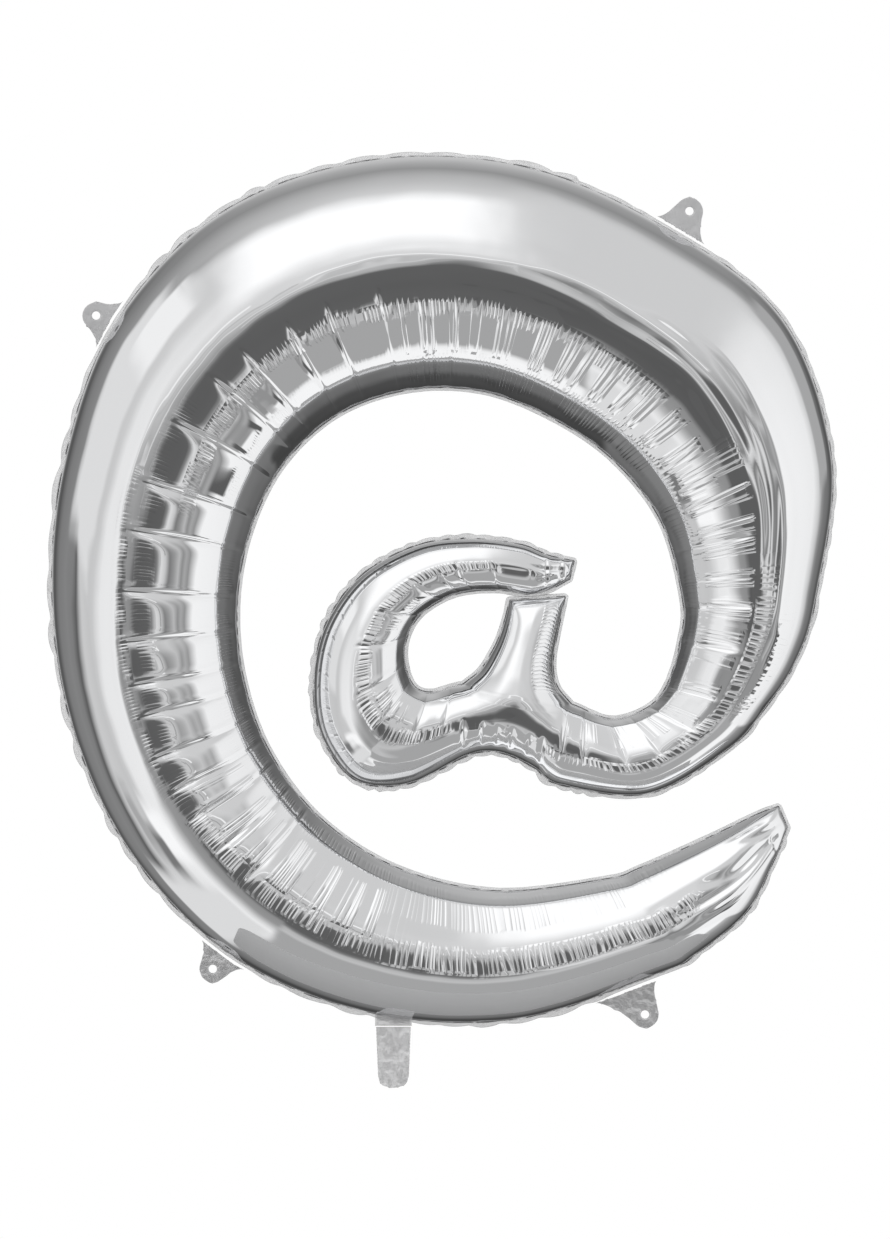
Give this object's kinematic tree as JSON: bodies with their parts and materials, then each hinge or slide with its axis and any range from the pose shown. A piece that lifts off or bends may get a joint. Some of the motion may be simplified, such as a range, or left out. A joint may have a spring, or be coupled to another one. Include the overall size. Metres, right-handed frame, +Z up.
{
  "type": "foil balloon in the shape of an at sign",
  "caption": "Inflated silver foil balloon shaped as an at sign, with a flat sealed edge, four holed hanging tabs and a folding filling tail.",
  "frame": {"origin": "middle of the round outer stroke, in the plane of the seam, where the filled balloon is held by the air", "axes": "+Z up, the front of the balloon faces -Y, +X to its right-hand side seen from the front"},
  "size_m": [0.7111, 0.179, 0.8426],
  "materials": {
    "foil": "mirror-bright silver film, finely creased",
    "seal_film": "bright silver film, welded flat and puckered",
    "tab_film": "glossy grey film",
    "tail_film": "glossy translucent film, crinkled"
  },
  "bodies": {
    "balloon": {"front_sheet": "foil", "back_sheet": "foil", "edge_seal": "seal_film", "tab_upper_left": "tab_film", "tab_upper_right": "tab_film", "tab_lower_left": "tab_film", "tab_lower_right": "tab_film", "tail_root": "tail_film"},
    "tail": {"filling_tail": "tail_film"}
  },
  "joints": [
    {"name": "tail_fold", "type": "hinge", "parent": "balloon", "child": "tail", "pos_m": [-0.0464, -0.0014, -0.383], "axis": [1, 0, 0], "range_deg": [-100, 100]}
  ]
}
